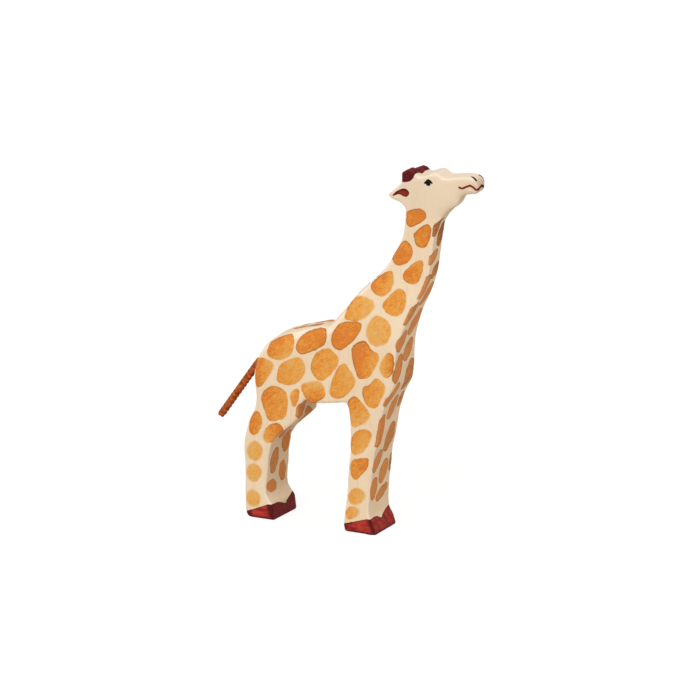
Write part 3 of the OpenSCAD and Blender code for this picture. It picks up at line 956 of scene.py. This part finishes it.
stained_wood, tree, shader = new_finish("stained_wood")
coat, stain, red, shade, painted_highlight = (add("Attribute", attribute_name=name).outputs["Fac"]
                                   for name in paint_layers)
place = add("TexCoord").outputs["Object"]
apart = add("SeparateXYZ", {"Vector": place}).outputs
grain = place_group(fibres, {"Vector": place, "Stretch": (700, 500, 45)})
slanted_place = add("Mapping", {"Vector": place, "Rotation": (0, brush_slant, 0)}).outputs[0]
brush = place_group(fibres, {"Vector": slanted_place, "Stretch": (120, 420, 460)})
clouds = add("TexNoise", {"Vector": place, "Scale": 55.0, "Detail": 2.0}).outputs["Fac"]
red_brush = place_group(fibres, {"Vector": place, "Stretch": (160, 420, 420)})
hand = add("TexNoise", {"Vector": place, "Scale": 330.0, "Detail": 1.0}).outputs["Fac"]
print("finish:", stained_wood.name)

# %% Colour the bare wood
grain_strength = 0.4
head_shade_strength = 0.5
highlight_strength = 0.75

cream = blend_colours(clouds, colour(240, 222, 196), colour(232, 210, 177))
grain_lines = soft_step(grain["Streak"], 0.5, 0.75, grain_strength)
cream = blend_colours(grain_lines, cream, colour(222, 192, 150))
# Painted shade: the head's cream is greyed and darkened a little.
on_head = soft_step(apart["Z"], 190 * MM, 204 * MM, head_shade_strength)
cream = blend_colours(on_head, cream, colour(226, 210, 190))
# Painted highlight: the cream is made paler along the board's edges and on the brow.
cream = blend_colours(sums("MULTIPLY", painted_highlight, highlight_strength), cream, colour(252, 236, 220))
print("bare wood coloured")

# %% Stain the coat
stain_tones = [(0.5, (228, 153, 56)), (1, (212, 116, 32)), (2, (220, 150, 88))]
pale_blur = 0.9
firm_blur = 0.3
rim_strength = 0.85
coat_strength = 0.97

edge = sums("ADD", coat, either_way(hand, width=0.9))
firm = soft_step(stain, 0.05, 0.5)
blur = sums("MULTIPLY_ADD", firm, firm_blur - pale_blur, pale_blur)
covered = soft_step(edge, sums("MULTIPLY", blur, -1.0), blur)
streaks = either_way(brush["Streak"], width=0.7)
pools = either_way(hand, width=0.5)
flecks = either_way(brush["Speck"], width=1.6)
depth = sums("ADD", stain, sums("ADD", flecks, sums("ADD", streaks, pools)))
tones = add("ValToRGB", {"Fac": sums("DIVIDE", depth, deepest_stain)})
tones.color_ramp.elements[0].color = colour(228, 178, 102)
tones.color_ramp.elements[1].color = colour(142, 78, 36)
for stain_depth, tone in stain_tones:
    tones.color_ramp.elements.new(stain_depth / deepest_stain).color = colour(*tone)
wet_edge = soft_step(stain, 0.25, 0.9)
rim = sums("MULTIPLY", soft_step(edge, 1.2, 0.2, rim_strength), wet_edge)
rim = sums("MULTIPLY", rim, soft_step(clouds, 0.25, 0.7))
coat_colour = blend_colours(rim, tones.outputs["Color"], colour(146, 94, 22))
covering = sums("MULTIPLY", covered, coat_strength)
coloured = blend_colours(covering, cream, coat_colour)
print("coat stained from pale ochre to brown")

# %% Stain the red parts
red_rim_strength = 0.6

red_place = sums("ADD", red, either_way(hand, width=0.6))
red_covered = soft_step(red_place, -0.15, 0.15)
red_streaks = soft_step(red_brush["Streak"], 0.3, 0.65)
red_colour = blend_colours(red_streaks, colour(130, 30, 28), colour(188, 62, 50))
# The stored darkness is the horns' and ears' own darker red, and on the hooves it includes painted shade
# on the front faces.
red_colour = blend_colours(shade, red_colour, colour(72, 10, 18))
red_rim = soft_step(red_place, 1.0, 0.0, red_rim_strength)
red_colour = blend_colours(red_rim, red_colour, colour(70, 10, 16))
coloured = blend_colours(red_covered, coloured, red_colour)
print("red parts stained")

# %% [markdown]
# The face is drawn with a fine brush: a black eye under a peaked lid, a black slit for each nostril
# and a wavy dark red mouth that runs round the muzzle. Such thin lines would need a very dense
# mesh, so they are drawn in the finish instead, as pen strokes between points on the wood. The eye
# is drawn flat on the side view, which puts it on both sides of the head at once.

# %% Helpers for fine lines
ink_edge = 0.12
flat = add("CombineXYZ", {"X": apart["X"], "Z": apart["Z"]}).outputs[0]


def on_wood(points):
    """A smooth line through the places on the wood that are closest to the given ones."""
    return smooth_line([body.closest_point_on_mesh(Vector(point) * MM)[1] for point in points], steps=2)


def line_gap(vector, points):
    """The distance to the nearest part of a line through some points."""
    closest = None
    for start, end in zip(points, points[1:]):
        gap = place_group(pen_stroke, {"Vector": vector, "Start": start, "End": end})["Distance"]
        closest = gap if closest is None else sums("MINIMUM", closest, gap)
    return closest


def flat_gap(points):
    """The distance to a line that is drawn flat on the side view, through [x, height]."""
    return line_gap(flat, [Vector((x, 0, z)) * MM for x, z in points])


def inked(gap, half_width, soft_edge=ink_edge, most=1):
    """How much ink there is at a distance from a line, from 0 to the most."""
    return soft_step(gap, (half_width + soft_edge) * MM, (half_width - soft_edge) * MM, most)


print("line helpers ready")

# %% Draw the eyes and the nostrils
lid_points = [(41, 217.7), (42, 218.9), (43, 219.8), (44.2, 219.2), (45.2, 218.2)]
ball_points = [(43, 218.6), (43, 217.6)]
near_slit = [(68.7, -2.6, 223.2), (70.2, -3.4, 222.8), (71.5, -3.9, 222)]
far_slit = [(70.5, 3.6, 223.2), (72.4, 4.3, 221.8), (73.2, 4.4, 220)]

eye_lid = inked(flat_gap(lid_points), half_width=0.6)
eye_ball = inked(flat_gap(ball_points), half_width=1.5)
near_nostril = inked(line_gap(place, on_wood(near_slit)), half_width=0.8)
far_nostril = inked(line_gap(place, on_wood(far_slit)), half_width=0.8)
eyes = sums("MAXIMUM", eye_lid, eye_ball)
ink = sums("MAXIMUM", eyes, sums("MAXIMUM", near_nostril, far_nostril))
print("eyes and nostrils drawn")

# %% Draw the mouth
mouth_points = [(62.3, -6.4, 217.4), (64.3, -6.2, 217), (69, -5.8, 219.3), (72.3, -5.4, 217.3),
                (73.4, -4.3, 217.1), (73.6, 0.2, 218.3), (73.5, 3.1, 216.8), (72.3, 5.4, 217.2),
                (69, 5.8, 219.2), (64.3, 6.2, 217), (62.3, 6.4, 217.4)]
snout_shade_strength = 0.35
lip_strength = 0.3

mouth_gap = line_gap(place, on_wood(mouth_points))
mouth_front = soft_step(apart["X"], 72.9 * MM, 73.7 * MM)
mouth_colour = blend_colours(mouth_front, colour(112, 34, 30), colour(38, 10, 12))
# Painted shade: the muzzle's front end is darkened to a pinkish brown.
snout_shade = soft_step(apart["X"], 69 * MM, 73.6 * MM, snout_shade_strength)
coloured = blend_colours(snout_shade, coloured, colour(196, 156, 136))
lips = inked(mouth_gap, half_width=1.1, soft_edge=0.8, most=lip_strength)
coloured = blend_colours(lips, coloured, colour(206, 128, 110))
wider_front = sums("MULTIPLY", inked(mouth_gap, half_width=0.85), mouth_front)
mouth_line = sums("MAXIMUM", inked(mouth_gap, half_width=0.6), wider_front)
coloured = blend_colours(mouth_line, coloured, mouth_colour)
coloured = blend_colours(ink, coloured, colour(6, 5, 5))
print("mouth drawn")

# %% Finish the wood's surface
wood_roughness = 0.68
paint_roughness = 0.56
speck_roughness = 0.12
film_height = 0.25


def finish_surface(base, roughness, height, strength, relief):
    """Links the colour, the roughness and a bump of some relief to the shader at hand."""
    bump = add("Bump", {"Height": height, "Strength": strength, "Distance": relief})
    tree.links.new(base, shader.inputs["Base Color"])
    tree.links.new(roughness, shader.inputs["Roughness"])
    tree.links.new(bump.outputs["Normal"], shader.inputs["Normal"])


thick_paint = sums("MAXIMUM", red_covered, ink)
roughness = sums("MULTIPLY_ADD", thick_paint, paint_roughness - wood_roughness, wood_roughness)
roughness = sums("MULTIPLY_ADD", grain["Speck"], speck_roughness, roughness)
tooth = sums("MULTIPLY_ADD", grain["Speck"], 0.35, grain["Streak"])
film = sums("MULTIPLY_ADD", covered, film_height, tooth)
finish_surface(coloured, roughness, film, strength=0.25, relief=0.12 * MM)
shader.inputs["Specular IOR Level"].default_value = 0.12
body.data.materials.append(stained_wood)
print("wood finished with", len(tree.nodes), "nodes")

# %% [markdown]
# The cord is dyed rust brown. Fibres run along each strand, so its finish reads the map that the
# strands were given: how far round and how far along. The grooves between the strands are painted
# dark, as painted shade, and the crowns keep the lighter rust.

# %% Finish the cord
dyed_cord, tree, shader = new_finish("dyed_cord")
strand_place = add("UVMap", uv_map="fibres").outputs["UV"]
strand_fibres = place_group(fibres, {"Vector": strand_place, "Stretch": (14, 2.5, 1)})
crown = add("SeparateXYZ", {"Vector": strand_place}).outputs["X"]
crown = sums("ABSOLUTE", sums("COSINE", sums("MULTIPLY", crown, math.pi)))
threads = soft_step(strand_fibres["Streak"], 0.3, 0.7)
rust = blend_colours(threads, colour(128, 54, 22), colour(206, 112, 50))
# Painted shade: the grooves between the strands are darkened.
rust = blend_colours(soft_step(crown, 0.94, 0.72), rust, colour(84, 28, 14))
roughness = sums("MULTIPLY_ADD", strand_fibres["Speck"], 0.15, 0.72)
hairs = sums("MULTIPLY_ADD", strand_fibres["Speck"], 0.4, strand_fibres["Streak"])
finish_surface(rust, roughness, hairs, strength=0.6, relief=0.15 * MM)
shader.inputs["Specular IOR Level"].default_value = 0.1
tail.data.materials.append(dyed_cord)
print("cord finished")

# %% [markdown]
# Only a thin ring of the glue shows, round the cord in the mouth of its hole. Its solid is right as
# it is, so it keeps its mesh and takes a finish: dry wood glue, honey coloured, a little uneven.

# %% Finish the glue
dry_glue, tree, shader = new_finish("dry_glue")
place = add("TexCoord").outputs["Object"]
glue_fibres = place_group(fibres, {"Vector": place, "Stretch": (900, 900, 900)})
honey = blend_colours(glue_fibres["Streak"], colour(190, 140, 66), colour(226, 184, 112))
roughness = sums("MULTIPLY_ADD", glue_fibres["Speck"], 0.2, 0.3)
finish_surface(honey, roughness, glue_fibres["Streak"], strength=0.4, relief=0.1 * MM)
glue = frame["nodes"]["tail_glue"]
glue.data.materials.clear()
glue.data.materials.append(dry_glue)
print("glue finished")

# %% [markdown]
# The studio is a white floor under even light. The floor is white to the camera and keeps a faint
# shadow, because only about a fifth of what the camera sees of it is lit. Other rays meet a warm,
# darker paint, so that the floor throws little light up at the figure.

# %% Lay the floor
floor_mesh = bmesh.new()
bmesh.ops.create_circle(floor_mesh, cap_ends=True, radius=6, segments=64)
floor = new_piece("floor", floor_mesh)


def seen_rays():
    """1 for what the camera sees, also in a reflection or through glass, and 0 for other light."""
    rays = add("LightPath").outputs
    seen = sums("ADD", rays["Is Camera Ray"], rays["Is Glossy Ray"])
    return sums("ADD", seen, rays["Is Transmission Ray"], clamp=True)


white_floor, tree, shader = new_finish("white_floor")
output = tree.nodes["Material Output"]
tree.nodes.remove(shader)
shadowed = add("BsdfDiffuse", {"Color": (0.25, 0.25, 0.25, 1)}).outputs[0]
glow = add("Emission", {"Color": (1, 1, 1, 1), "Strength": 0.82}).outputs[0]
backdrop = add("AddShader", {0: shadowed, 1: glow}).outputs[0]
paint = add("BsdfDiffuse", {"Color": (0.5, 0.42, 0.35, 1)}).outputs[0]
mixed = add("MixShader", {0: seen_rays(), 1: paint, 2: backdrop}).outputs[0]
tree.links.new(mixed, output.inputs["Surface"])
floor.data.materials.append(white_floor)
print("floor laid")

# %% [markdown]
# Most of the light comes from all round. One large lamp on the camera's left lifts the near side
# above the front, as in the picture, and a weak, warm one on its right fills in the front.

# %% Light the studio
figure_middle = Vector((0, 0, 0.11))
world = bpy.data.worlds.new("studio")
world.use_nodes = True
bpy.context.scene.world = world
tree = world.node_tree
tree.nodes.clear()
room_light = add("Background", {"Color": (1, 0.97, 0.92, 1), "Strength": 0.68}).outputs[0]
backdrop = add("Background", {"Color": (1, 1, 1, 1), "Strength": 1.0}).outputs[0]
mixed = add("MixShader", {0: seen_rays(), 1: room_light, 2: backdrop}).outputs[0]
tree.links.new(mixed, add("OutputWorld").inputs["Surface"])


def hang_lamp(name, azimuth, height, distance, size, power, tint):
    """A square soft lamp that looks at the middle of the figure."""
    lamp = bpy.data.objects.new(name, bpy.data.lights.new(name, "AREA"))
    lamp.data.color = tint
    lamp.data.size = size
    lamp.data.energy = power
    to_lamp = towards(azimuth, height)
    lamp.location = figure_middle + distance * to_lamp
    lamp.rotation_euler = to_lamp.to_track_quat("Z", "Y").to_euler()
    bpy.context.scene.collection.objects.link(lamp)


hang_lamp("key_lamp", azimuth=-10, height=32, distance=3, size=1.9, power=43, tint=(1, 1, 1))
hang_lamp("fill_lamp", azimuth=80, height=25, distance=1.4, size=0.9, power=3.6, tint=(1, 0.94, 0.86))
bpy.context.scene.view_settings.view_transform = "Standard"
print("studio lit")
